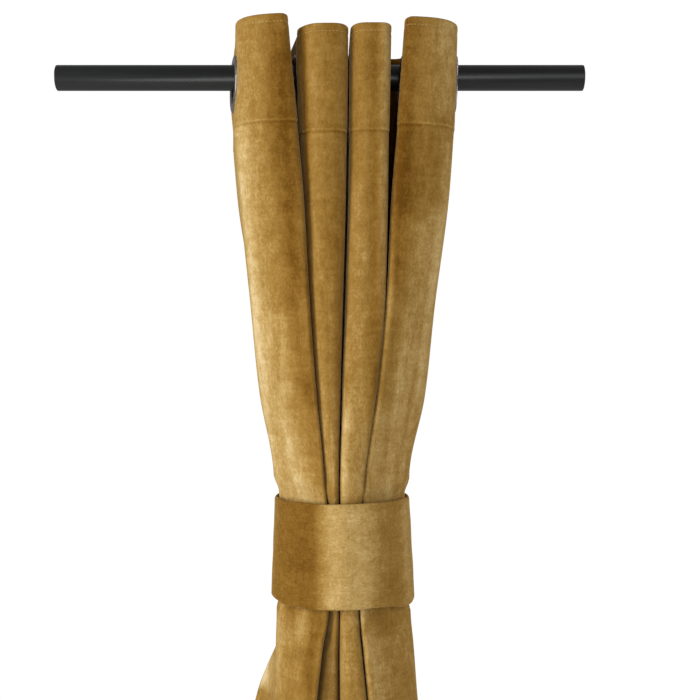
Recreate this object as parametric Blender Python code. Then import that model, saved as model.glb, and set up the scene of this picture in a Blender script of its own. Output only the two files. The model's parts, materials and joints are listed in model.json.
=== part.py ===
"""Velvet eyelet curtain, gathered on its rod and tied with a wide band.

Metres, +Z up, +X to the right and +Y towards the wall. The origin is the middle of the rod, on its axis.
"""

import math
from collections import namedtuple

import bmesh
import bpy
from mathutils import Matrix, Vector

MM = 0.001

# Rod
ROD_RADIUS = 12.7 * MM
ROD_LENGTH = 526 * MM
ROD_SIDES = 40
ROD_EDGE = 0.8 * MM

# Cloth
GATHER_MIDDLE = 30 * MM
HEADING_THICK = 3.2 * MM
PANEL_THICK = 2.0 * MM
PIECE_GAP = 0.35 * MM
SEAM_GAP = 0.5 * MM

# Eyelets: rings pressed through the heading, hanging from the top of the rod
EYELET_THROAT = 20 * MM
EYELET_SLEEVE = 22.2 * MM
EYELET_RIM = 28.5 * MM
EYELET_DOME = 1.9 * MM
EYELET_HOLE = 23.2 * MM
EYELET_SIDES = 20
EYELET_DROP = EYELET_THROAT * math.cos(math.pi / EYELET_SIDES) - ROD_RADIUS - PIECE_GAP

# Tie band: each row is its share of the height, then the half width and middle of the oval in millimetres
BAND_HEIGHT = 100 * MM
BAND_TOP = -417.5 * MM
BAND_SAG = 2 * MM
BAND_THICK = 3 * MM
BAND_DEPTH = 66.5 * MM
BAND_OVAL = (1.5, 1.9)
BAND_LAP = 0.62
BAND_LAP_GAP = 1 * MM
BAND_STEPS = 64
BandRow = namedtuple("BandRow", "share half middle")
BAND_ROWS = (BandRow(0, 65.7, -7.9), BandRow(0.3, 67, -7.6), BandRow(0.65, 68.6, -7.2), BandRow(1, 69.9, -7))

# One row for each level of the cloth, from the top edge down to the hem, in millimetres from the rod's axis
# and from the middle of the gathered cloth. The four folds are the left and right corners of what stands
# forward, and a valley joins each to the next behind the rod. Front and back are how far the cloth reaches.
# Oval is the power of the oval that the folds keep within, left and right: high is square, 2 an ellipse.
# Lean scales the slant of the walls, and sink sets fold 2 back from the others. Ends are the two outer
# edges, behind the rod at the depth called edge, and swell is how far each outer wall stands out.
Row = namedtuple("Row", "z front back lean sink edge oval ends swell fold_1 fold_2 fold_3 fold_4")
LEVELS = (
    Row(38, 67, 76, 1, 0, 70, (9, 9), (-120, 107), (0, 0),
        (-107, -59), (-43.5, 0), (2.2, 38.5), (53, 102)),
    Row(-63, 67, 76, 1, 0, 70, (9, 9), (-122.5, 104), (0, 0),
        (-109, -49.5), (-43, -1.1), (1.1, 36.4), (45.5, 99)),
    Row(-128, 67, 76, 0.9, 0, 68, (7, 7), (-116, 100), (0, 0),
        (-104, -44), (-40, -2.4), (0, 35.6), (40, 94)),
    Row(-224, 67, 74, 0.7, 1, 64, (3.4, 4), (-98, 86), (4, 2),
        (-95, -38.7), (-36, -5.8), (-3, 33), (35.4, 81)),
    Row(-320, 67, 69, 0.5, 3, 56, (2, 2.4), (-80, 66), (7, 7),
        (-86, -32.2), (-29.6, -9), (-6.4, 23.5), (26, 70)),
    Row(-402, 66, 65, 0.3, 4, 38, (1.4, 1.8), (-58, 43), (8.2, 10),
        (-73, -25), (-22.3, -11), (-8.4, 12.8), (15.2, 55)),
    Row(-530, 65, 64, 0.3, 7, 36, (1.4, 1.8), (-56, 44), (8, 9),
        (-70, -21), (-18.2, -11), (-8.5, 8.2), (10.7, 57)),
    Row(-562, 67, 66, 0.4, 12, 30, (1.6, 2.2), (-69, 54), (2, 6),
        (-72, -26.2), (-23.6, -11.2), (-8.7, 11), (13.4, 60)),
    Row(-622, 71, 68, 0.5, 15, 30, (2.4, 2.6), (-94, 62), (-10, 5),
        (-74, -33), (-30.6, -10.6), (-8.1, 17), (19.4, 64)),
    Row(-850, 76, 75, 0.6, 9, 40, (4, 4), (-138, 99), (-6, 2),
        (-105, -57), (-43, -16.5), (2, 36), (53, 93)),
    Row(-1556, 75, 73, 0.6, 3, 50, (5, 5), (-170, 150), (0, 0),
        (-147, -105), (-66, -22), (20, 62), (98, 136)),
)
BACK_OVAL = 2.2

# How far from each corner of a fold the cloth starts to bend, along the fold's face and along its wall.
Softness = namedtuple("Softness", "face wall")
FOLD_SOFT = (
    (Softness(40, 25), Softness(8, 12)),
    (Softness(18, 25), Softness(17, 23)),
    (Softness(14, 20), Softness(9, 14)),
    (Softness(9, 14), Softness(40, 28)),
)
VALLEY_SOFT = Softness(40, 26)
SIDE_SOFT = 28

# How far a wall's back corner lies to the right of its front one, for each side of the three valleys.
VALLEY_SLANT = ((-24.0, -21.5), (-24.0, -3.0), (-6.0, 7.0))

# How far each part's top edge hangs above or below the top level.
FOLD_LIFT = (7.5, -2.0, -1.5, 4.5)
VALLEY_LIFT = (2.0, -4.0, 0.0)

# Steps along the cloth
CORNER_STEPS = 4
FACE_STEPS = 1
WALL_STEPS = 2
PANEL_ROWS = (
    -63, -102, -145, -190, -235, -280, -318, -350, -376, -396, -408, -420, -470, -521, -540,
    -564, -592, -628, -676, -745, -850, -990, -1160, -1350, -1556,
)

# How the tie draws the bundle in under the band.
PINCH = 0.07
PINCH_REACH = 16


def clear_scene():
    for item in list(bpy.data.objects):
        bpy.data.objects.remove(item, do_unlink=True)


def smooth_value(heights, values, z):
    """A monotone cubic through the values, so that nothing bulges between two levels."""
    count = len(heights)
    slopes = [(values[i + 1] - values[i]) / (heights[i + 1] - heights[i]) for i in range(count - 1)]
    tangents = [slopes[0]]
    for before, after in zip(slopes, slopes[1:]):
        same_way = before * after > 0
        tangents.append(2 * before * after / (before + after) if same_way else 0.0)
    tangents.append(slopes[-1])
    place = max(i for i in range(count - 1) if i == 0 or z <= heights[i])
    span = heights[place + 1] - heights[place]
    t = (z - heights[place]) / span
    return (
        values[place] * (1 + 2 * t) * (1 - t) ** 2
        + values[place + 1] * t * t * (3 - 2 * t)
        + span * tangents[place] * t * (1 - t) ** 2
        - span * tangents[place + 1] * t * t * (1 - t)
    )


def flat_row(level):
    """A level as one plain list of numbers."""
    return [*level[:6], *(value for pair in level[6:] for value in pair)]


def level_at(z):
    """The level at any height: straight down the stiff heading, smooth below it."""
    top, seam = LEVELS[0], LEVELS[1]
    if z >= seam.z:
        share = (top.z - z) / (top.z - seam.z)
        numbers = [a + (b - a) * share for a, b in zip(flat_row(top), flat_row(seam))]
    else:
        rows = [flat_row(level) for level in LEVELS[1:]]
        heights = [row[0] for row in rows]
        numbers = [smooth_value(heights, [row[i] for row in rows], z) for i in range(len(rows[0]))]
    pairs = [tuple(numbers[i : i + 2]) for i in range(6, 20, 2)]
    return Row(*numbers[:6], *pairs)


def pinch_at(z):
    """How much the tie narrows the bundle at a height, as a share."""
    top, bottom = BAND_TOP / MM, (BAND_TOP - BAND_HEIGHT) / MM
    outside = max(z - top, bottom - z, 0)
    fade = max(0.0, 1 - outside / PINCH_REACH)
    return PINCH * fade * fade * (3 - 2 * fade)


def oval_depth(share, power):
    """How deep an oval of that power is, as a share, at a share of its half width."""
    return (1 - min(abs(share), 0.98) ** power) ** (1 / power)


def corners_at(z):
    """The section's corners at a height, left to right: (x, y, reach before, reach after, lift)."""
    level = level_at(z)
    folds = (level.fold_1, level.fold_2, level.fold_3, level.fold_4)
    middle = (folds[0][0] + folds[3][1]) / 2
    half = (folds[3][1] - folds[0][0]) / 2 + 6

    def front(x):
        return level.front * oval_depth((x - middle) / half, level.oval[0 if x < middle else 1])

    def back(x):
        return level.back * oval_depth((x - middle) / half, max(BACK_OVAL, *level.oval))

    def side(end_x, front_corner, out):
        """The outer wall's point beside the rod."""
        share = level.edge / (level.edge - front_corner[1])
        x = end_x + (front_corner[0] - end_x) * share
        return (x + out, 0.0, SIDE_SOFT, SIDE_SOFT, front_corner[4] * share)

    path = []
    for index, (left, right) in enumerate(folds):
        sink = level.sink if index == 1 else 0
        soft_left, soft_right = FOLD_SOFT[index]
        bend = 0.45 + 0.55 * level.lean
        lift = FOLD_LIFT[index]
        path.append((left, sink - front(left), soft_left.wall * bend, soft_left.face * bend, lift))
        path.append((right, sink - front(right), soft_right.face * bend, soft_right.wall * bend, lift))
        if index < 3:
            slant_left, slant_right = VALLEY_SLANT[index]
            back_left = right + slant_left * level.lean
            back_right = folds[index + 1][0] + slant_right * level.lean
            lift = VALLEY_LIFT[index]
            wall, face = VALLEY_SOFT.wall, VALLEY_SOFT.face
            path.append((back_left, back(back_left), wall, face, lift))
            path.append((back_right, back(back_right), face, wall, lift))
    left_end, right_end = level.ends
    path.insert(0, side(left_end, path[0], -level.swell[0]))
    path.append(side(right_end, path[-1], level.swell[1]))
    path.insert(0, (left_end, level.edge, 0, 0, 0.0))
    path.append((right_end, level.edge, 0, 0, 0.0))

    narrow = 1 - pinch_at(z)
    return [(middle + (x - middle) * narrow, y * narrow, *rest) for x, y, *rest in path]


def rounded_path(corners):
    """Points along the cloth: each corner is a soft bend, with straight runs between. Gives (x, y, lift)."""
    runs = [math.dist(a[:2], b[:2]) for a, b in zip(corners, corners[1:])]
    spare = [
        min(1.0, 0.95 * run / max(a[3] + b[2], 1e-6)) / run for a, b, run in zip(corners, corners[1:], runs)
    ]
    points = [Vector((corners[0][0], corners[0][1], corners[0][4]))]
    for index in range(1, len(corners) - 1):
        here = Vector((corners[index][0], corners[index][1], corners[index][4]))
        before = Vector((corners[index - 1][0], corners[index - 1][1], corners[index - 1][4]))
        after = Vector((corners[index + 1][0], corners[index + 1][1], corners[index + 1][4]))
        reach_in = corners[index][2] * spare[index - 1]
        reach_out = corners[index][3] * spare[index]
        start = here.lerp(before, reach_in)
        end = here.lerp(after, reach_out)
        along_wall = abs(here.y - before.y) > abs(here.x - before.x)
        steps = WALL_STEPS if along_wall else FACE_STEPS
        came_from = points[-1]
        points += [came_from.lerp(start, step / steps) for step in range(1, steps + 1)]
        for step in range(1, CORNER_STEPS + 1):
            t = step / CORNER_STEPS
            points.append(start * (1 - t) ** 2 + here * 2 * t * (1 - t) + end * t * t)
    last = Vector((corners[-1][0], corners[-1][1], corners[-1][4]))
    came_from = points[-1]
    points += [came_from.lerp(last, step / WALL_STEPS) for step in range(1, WALL_STEPS + 1)]
    return points


def cloth_row(z, drop=0.0):
    """One row of the cloth's middle surface, in metres, drop lower than its level."""
    row = rounded_path(corners_at(z))
    return [Vector((p.x * MM + GATHER_MIDDLE, p.y * MM, (z + p.z) * MM - drop)) for p in row]


def new_object(name, mesh, material):
    piece = bpy.data.objects.new(name, mesh)
    bpy.context.scene.collection.objects.link(piece)
    if material:
        piece.data.materials.append(material)
    return piece


def new_material(name, colour, roughness, metallic=0.0):
    material = bpy.data.materials.new(name)
    material.use_nodes = True
    shader = material.node_tree.nodes["Principled BSDF"]
    shader.inputs["Base Color"].default_value = (*colour, 1.0)
    shader.inputs["Roughness"].default_value = roughness
    shader.inputs["Metallic"].default_value = metallic
    return material


def sheet_from_rows(name, rows, thick, material):
    """A sheet of cloth: quads between the rows, given its thickness about the middle surface."""
    shape = bmesh.new()
    grid = [[shape.verts.new(point) for point in row] for row in rows]
    for upper, lower in zip(grid, grid[1:]):
        for i in range(len(upper) - 1):
            shape.faces.new((upper[i], lower[i], lower[i + 1], upper[i + 1]))
    mesh = bpy.data.meshes.new(name)
    shape.to_mesh(mesh)
    shape.free()
    mesh.shade_smooth()
    piece = new_object(name, mesh, material)
    solid = piece.modifiers.new("thickness", "SOLIDIFY")
    solid.thickness = thick
    solid.offset = 0
    solid.use_even_offset = True
    solid.use_rim = True
    return piece


def wall_ends(row):
    """The two ends of each of the eight walls in a row of corners."""
    pairs = [(0, 2)] + [(i, i + 1) for i in range(3, 15, 2)] + [(15, 17)]
    return [(row[a], row[b]) for a, b in pairs]


def beside_rod(a, b):
    """The point of a wall's edge that is level with the rod's axis in depth."""
    return a + (b - a) * (-a.y / (b.y - a.y))


def eyelet_frames():
    """Where the eight eyelets sit: the centre of each on its wall, with the wall's normal as its own Z."""
    top, seam = (
        [Vector((x, y, level.z + lift)) * MM for x, y, _, _, lift in corners_at(level.z)]
        for level in LEVELS[:2]
    )
    frames = []
    for (a, b), (c, d) in zip(wall_ends(top), wall_ends(seam)):
        above, below = beside_rod(a, b), beside_rod(c, d)
        centre = above + (below - above) * ((above.z + EYELET_DROP) / (above.z - below.z))
        normal = ((b - a) + (d - c)).cross(below - above).normalized()
        across = normal.cross(Vector((0, 0, 1))).normalized()
        turn = Matrix((across, normal.cross(across), normal)).transposed().to_4x4()
        frames.append(Matrix.Translation(centre + Vector((GATHER_MIDDLE, 0, 0))) @ turn)
    return frames


def eyelet_profile():
    """The ring's outline as (radius, height) from its middle: a throat, two domed faces, and the groove."""
    groove = HEADING_THICK / 2 + PIECE_GAP
    half = groove + EYELET_DOME
    upper = (
        (EYELET_THROAT + 0.9 * MM, half * 0.8),
        (EYELET_THROAT + 3.6 * MM, half),
        (EYELET_RIM, groove + EYELET_DOME * 0.35),
        (EYELET_RIM - 0.5 * MM, groove),
        (EYELET_SLEEVE, groove),
    )
    lower = tuple((radius, -height) for radius, height in reversed(upper))
    return ((EYELET_THROAT, 0.0), *upper, *lower)


def turned_ring(name, profile, sides):
    """A ring turned about Z from a closed profile."""
    shape = bmesh.new()
    loop = [shape.verts.new((radius, 0, height)) for radius, height in profile]
    edges = [shape.edges.new((loop[i], loop[(i + 1) % len(loop)])) for i in range(len(loop))]
    bmesh.ops.spin(
        shape,
        geom=loop + edges,
        cent=(0, 0, 0),
        axis=(0, 0, 1),
        angle=2 * math.pi,
        steps=sides,
        use_merge=True,
    )
    bmesh.ops.remove_doubles(shape, verts=shape.verts, dist=0.01 * MM)
    bmesh.ops.recalc_face_normals(shape, faces=shape.faces)
    mesh = bpy.data.meshes.new(name)
    shape.to_mesh(mesh)
    shape.free()
    mesh.shade_smooth()
    mesh.set_sharp_from_angle(angle=math.radians(50))
    return mesh


def make_rod(material):
    shape = bmesh.new()
    bmesh.ops.create_cone(
        shape,
        cap_ends=True,
        segments=ROD_SIDES,
        radius1=ROD_RADIUS,
        radius2=ROD_RADIUS,
        depth=ROD_LENGTH,
        matrix=Matrix.Rotation(math.pi / 2, 4, "Y"),
    )
    mesh = bpy.data.meshes.new("rod")
    shape.to_mesh(mesh)
    shape.free()
    mesh.shade_smooth()
    mesh.set_sharp_from_angle(angle=math.radians(40))
    rod = new_object("rod", mesh, material)
    edge = rod.modifiers.new("edge", "BEVEL")
    edge.width = ROD_EDGE
    edge.segments = 1
    edge.limit_method = "ANGLE"
    edge.angle_limit = math.radians(60)
    return rod


def make_eyelets(material):
    mesh = turned_ring("eyelet", eyelet_profile(), EYELET_SIDES)
    rings = []
    for number, frame in enumerate(eyelet_frames(), 1):
        ring = new_object(f"eyelet_{number}", mesh, None)
        ring.matrix_world = frame
        rings.append(ring)
    mesh.materials.append(material)
    return rings


def make_heading(material):
    """The stiffened top strip, with a hole for each eyelet."""
    rows = [cloth_row(LEVELS[0].z), cloth_row(LEVELS[1].z)]
    heading = sheet_from_rows("heading", rows, HEADING_THICK, material)
    for number, frame in enumerate(eyelet_frames(), 1):
        shape = bmesh.new()
        bmesh.ops.create_cone(
            shape,
            cap_ends=True,
            segments=EYELET_SIDES,
            radius1=EYELET_HOLE,
            radius2=EYELET_HOLE,
            depth=2 * HEADING_THICK,
        )
        mesh = bpy.data.meshes.new(f"punch_{number}")
        shape.to_mesh(mesh)
        shape.free()
        punch = new_object(f"punch_{number}", mesh, None)
        punch.matrix_world = frame
        punch.hide_render = True
        punch.display_type = "WIRE"
        hole = heading.modifiers.new(f"hole_{number}", "BOOLEAN")
        hole.operation = "DIFFERENCE"
        hole.object = punch
        hole.solver = "EXACT"
    return heading


def make_panel(material):
    """The curtain's body, from just under the heading to the hem."""
    rows = [cloth_row(z, SEAM_GAP) for z in PANEL_ROWS]
    return sheet_from_rows("panel", rows, PANEL_THICK, material)


def band_point(angle, z, radius_x, middle_x):
    """A point on the band's middle surface; the last part of the turn laps over the first."""
    lap_start = 2 * math.pi - BAND_LAP / 2
    share = min(max((angle - lap_start) / BAND_LAP + 0.5, 0.0), 1.0)
    lift = (BAND_THICK + BAND_LAP_GAP) * share * share * (3 - 2 * share)
    forward = max(0.0, -math.cos(angle)) ** 0.5
    power = 2 / (BACK_OVAL + (BAND_OVAL[0 if math.sin(angle) < 0 else 1] - BACK_OVAL) * forward)
    x = middle_x + (radius_x + lift) * math.copysign(abs(math.sin(angle)) ** power, math.sin(angle))
    y = (BAND_DEPTH + lift) * math.copysign(abs(math.cos(angle)) ** power, math.cos(angle))
    return Vector((x, y, z))


def make_band(material):
    """The tie: a flat band round the bundle, its ends lapped at the back."""
    rows = []
    for share, half, middle in BAND_ROWS:
        level = BAND_TOP - share * BAND_HEIGHT
        row = []
        for step in range(BAND_STEPS + 1):
            angle = (2 * math.pi + BAND_LAP) * step / BAND_STEPS - BAND_LAP / 2
            slope = share * BAND_SAG * math.sin(angle)
            row.append(band_point(angle, level - slope, half * MM, middle * MM + GATHER_MIDDLE))
        rows.append(row)
    return sheet_from_rows("tie_band", rows, BAND_THICK, material)


def main():
    clear_scene()
    velvet = new_material("velvet", (0.36, 0.21, 0.065), 0.85)
    black_paint = new_material("black_paint", (0.03, 0.032, 0.032), 0.38, 0.3)
    nickel = new_material("nickel", (0.72, 0.66, 0.63), 0.25, 1.0)
    make_rod(black_paint)
    make_eyelets(nickel)
    make_heading(velvet)
    make_panel(velvet)
    make_band(velvet)


main()
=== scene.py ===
"""A mustard velvet eyelet curtain on a black rod, gathered and tied with a wide band."""

import json
import math
from collections import namedtuple

import bmesh
import bpy
import numpy as np
from mathutils import Matrix, Vector, noise

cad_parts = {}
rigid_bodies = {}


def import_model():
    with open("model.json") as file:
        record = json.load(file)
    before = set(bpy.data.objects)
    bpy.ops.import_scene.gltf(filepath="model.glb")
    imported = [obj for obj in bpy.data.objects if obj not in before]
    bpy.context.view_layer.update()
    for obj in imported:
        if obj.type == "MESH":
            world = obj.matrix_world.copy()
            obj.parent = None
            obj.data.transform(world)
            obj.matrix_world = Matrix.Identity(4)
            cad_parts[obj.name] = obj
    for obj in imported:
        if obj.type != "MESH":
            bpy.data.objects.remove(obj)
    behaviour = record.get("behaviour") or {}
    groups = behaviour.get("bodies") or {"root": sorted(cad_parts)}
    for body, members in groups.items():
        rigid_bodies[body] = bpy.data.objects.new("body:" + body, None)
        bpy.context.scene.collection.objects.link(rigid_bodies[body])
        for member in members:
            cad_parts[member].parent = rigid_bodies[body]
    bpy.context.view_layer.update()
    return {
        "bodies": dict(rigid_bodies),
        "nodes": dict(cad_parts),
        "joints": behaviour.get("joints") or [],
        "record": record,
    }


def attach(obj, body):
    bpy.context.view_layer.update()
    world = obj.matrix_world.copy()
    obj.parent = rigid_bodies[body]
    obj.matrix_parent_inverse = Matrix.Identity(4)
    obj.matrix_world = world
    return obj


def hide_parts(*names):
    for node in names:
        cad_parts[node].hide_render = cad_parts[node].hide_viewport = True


MM = 0.001

# Sizes of the cloth, rod and rings, in metres; the band's lap is an angle, and its ovals are powers
ROD_RADIUS = 12.7 * MM
ROD_LENGTH = 526 * MM
ROD_EDGE = 0.8 * MM
GATHER_MIDDLE = 30 * MM
HEADING_THICK = 3.2 * MM
PANEL_THICK = 2.0 * MM
PIECE_GAP = 0.35 * MM
EYELET_THROAT = 20 * MM
EYELET_SLEEVE = 22.2 * MM
EYELET_RIM = 28.5 * MM
EYELET_DOME = 1.9 * MM
EYELET_HOLE = 23.2 * MM
EYELET_SIDES = 20
EYELET_DROP = EYELET_THROAT * math.cos(math.pi / EYELET_SIDES) - ROD_RADIUS - PIECE_GAP
BAND_HEIGHT = 100 * MM
BAND_TOP = -417.5 * MM
BAND_SAG = 2 * MM
BAND_THICK = 3 * MM
BAND_DEPTH = 66.5 * MM
BAND_OVAL = (1.5, 1.9)
BAND_LAP = 0.62
BAND_LAP_GAP = 1 * MM
BAND_STEPS = 220
BandRow = namedtuple("BandRow", "share half middle")
BAND_ROWS = (
    BandRow(0, 65.7, -7.9), BandRow(0.3, 67, -7.6), BandRow(0.65, 68.6, -7.2), BandRow(1, 69.9, -7),
)

# The hanging shape, level by level, in millimetres from the rod's axis and the gather's middle. Front, back
# and edge are depths, lean is the share of the valleys' slant, sink sets the second fold back, oval is the
# power of the bundle's curve to each side, and swell how far each outer wall bulges.
Row = namedtuple("Row", "z front back lean sink edge oval ends swell fold_1 fold_2 fold_3 fold_4")
LEVELS = (
    Row(38, 67, 76, 1, 0, 70, (9, 9), (-120, 107), (0, 0),
        (-107, -59), (-43.5, 0), (2.2, 38.5), (53, 102)),
    Row(-63, 67, 76, 1, 0, 70, (9, 9), (-122.5, 104), (0, 0),
        (-109, -49.5), (-43, -1.1), (1.1, 36.4), (45.5, 99)),
    Row(-128, 67, 76, 0.9, 0, 68, (7, 7), (-116, 100), (0, 0),
        (-104, -44), (-40, -2.4), (0, 35.6), (40, 94)),
    Row(-224, 67, 74, 0.7, 1, 64, (3.4, 4), (-98, 86), (4, 2),
        (-95, -38.7), (-36, -5.8), (-3, 33), (35.4, 81)),
    Row(-320, 67, 69, 0.5, 3, 56, (2, 2.4), (-80, 66), (7, 7),
        (-86, -32.2), (-29.6, -9), (-6.4, 23.5), (26, 70)),
    Row(-402, 66, 65, 0.3, 4, 38, (1.4, 1.8), (-58, 43), (8.2, 10),
        (-73, -25), (-22.3, -11), (-8.4, 12.8), (15.2, 55)),
    Row(-530, 65, 64, 0.3, 7, 36, (1.4, 1.8), (-56, 44), (8, 9),
        (-70, -21), (-18.2, -11), (-8.5, 8.2), (10.7, 57)),
    Row(-562, 67, 66, 0.4, 12, 30, (1.6, 2.2), (-69, 54), (2, 6),
        (-72, -26.2), (-23.6, -11.2), (-8.7, 11), (13.4, 60)),
    Row(-622, 71, 68, 0.5, 15, 30, (2.4, 2.6), (-94, 62), (-10, 5),
        (-74, -33), (-30.6, -10.6), (-8.1, 17), (19.4, 64)),
    Row(-850, 76, 75, 0.6, 9, 40, (4, 4), (-138, 99), (-6, 2),
        (-105, -57), (-43, -16.5), (2, 36), (53, 93)),
    Row(-1556, 75, 73, 0.6, 3, 50, (5, 5), (-170, 150), (0, 0),
        (-147, -105), (-66, -22), (20, 62), (98, 136)),
)
BACK_OVAL = 2.2

# How far each bend is rounded into the fold's face and its wall, how far a valley's back shifts across, how
# much higher each fold and valley hangs, and how much the band pinches the bundle
Softness = namedtuple("Softness", "face wall")
FOLD_SOFT = (
    (Softness(40, 25), Softness(8, 12)),
    (Softness(18, 25), Softness(17, 23)),
    (Softness(14, 20), Softness(9, 14)),
    (Softness(9, 14), Softness(40, 28)),
)
VALLEY_SOFT = Softness(40, 26)
SIDE_SOFT = 28
VALLEY_SLANT = ((-24.0, -21.5), (-24.0, -3.0), (-6.0, 7.0))
FOLD_LIFT = (7.5, -2.0, -1.5, 4.5)
VALLEY_LIFT = (2.0, -4.0, 0.0)
PINCH = 0.07
PINCH_REACH = 16

# Steps along the cloth, then the hems, the seam and the stitches; heights named Z are in millimetres
CORNER_STEPS = 10
FACE_STEPS = 6
WALL_STEPS = 4
HEADING_WALL_STEPS = 14
HEM = 92 * MM
SIDE_HEM = 24 * MM
HEM_EXTRA = 0.9 * MM
SIDE_HEM_EXTRA = 0.5 * MM
SEAM_PRESS = 4.2 * MM
TOP_STITCH = 7.5 * MM
HEM_STITCH = 4
STITCH_PITCH = 3.6 * MM
STITCH_LONG = 3 * MM
STITCH_STRAIGHT = 2.1 * MM
STITCH_THICK = 0.6 * MM
STITCH_SINK = 0.35 * MM
SEAM_Z = LEVELS[1].z
FOOT_Z = LEVELS[-1].z
HEM_TOP_Z = FOOT_Z + HEM / MM

# Unevenness of the cloth: how far apart its swells are as (x, y, z), the seed of their pattern and their
# height, in millimetres
Swell = namedtuple("Swell", "apart seed high")
BROAD_SWELL = Swell((34, 60, 75), 3.1, 1)
SMALL_SWELL = Swell((13, 40, 26), 8.7, 0.3)
HEADING_SWELL = Swell((22, 30, 40), 5.5, 0.45)
BAND_SWELL = Swell((20, 30, 26), 4.2, 0.35)

# Soft ridges (high above nought) and troughs pressed into the front of the cloth: a line of points
# (x, z) in millimetres, its height and half its width.
Crease = namedtuple("Crease", "line high wide")
CREASES = (
    Crease(((-83, -150), (-66, -260), (-52, -340), (-40, -412)), 0.9, 5),
    Crease(((-96, -190), (-86, -270), (-72, -350), (-58, -412)), -0.7, 7),
    Crease(((-70, -330), (-60, -372), (-50, -412)), 0.5, 3.5),
    Crease(((-54, -250), (-44, -340), (-33, -412)), -0.5, 4),
    Crease(((-27, -240), (-22, -330), (-18, -412)), 0.5, 3.5),
    Crease(((16, -180), (11, -290), (2, -412)), 0.5, 4),
    Crease(((50, -10), (54, -150), (48, -300), (36, -412)), 0.7, 4),
    Crease(((72, -330), (60, -372), (44, -412)), 0.7, 2.6),
    Crease(((78, -318), (68, -366), (50, -412)), -0.6, 3),
    Crease(((80, -290), (72, -350), (56, -412)), 0.6, 2.8),
    Crease(((70, -60), (72, -170), (66, -270)), -0.7, 9),
    Crease(((-46, -526), (-44, -560), (-42, -620), (-46, -700)), 0.8, 4),
    Crease(((-56, -526), (-58, -570), (-60, -640)), -0.8, 5),
    Crease(((-68, -540), (-72, -600), (-80, -680)), 0.7, 4),
    Crease(((18, -526), (22, -580), (30, -660)), 0.6, 4),
    Crease(((32, -524), (38, -560), (46, -640)), -0.8, 5),
    Crease(((46, -524), (50, -580), (54, -660)), 0.6, 4),
)

# Where the stiff heading is pressed in or stands out beside the rod: a place and how far it reaches as
# (x, y, z), and the push to the right, in millimetres. It ends short of the eyelets.
Dent = namedtuple("Dent", "place reach push")
DENTS = (
    Dent((-109, -49, -8), (14, 10, 27), 2.6),
    Dent((-49, -44, 8), (9, 12, 42), -3.4),
)
EYELET_CLEAR = -31

# The left eyelet is turned a little to the front, in degrees. The cloth turns with it in full out to one
# distance from its centre and not at all beyond another; its wall lies within the third, across.
LEFT_EYELET_TURN = 5.5
TURN_FULL = 33
TURN_END = 52
TURN_ACROSS = 24

# Painted shade deep between folds: how much darker the pile's colour is painted there, and at which depth
# and over what distance the painted shade darkens towards there, in millimetres
HOLLOW_PAINTED_SHADE = 0.44
FRONT_HOLLOW = (-62, 34)
BACK_HOLLOW = (58, 40)
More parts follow.
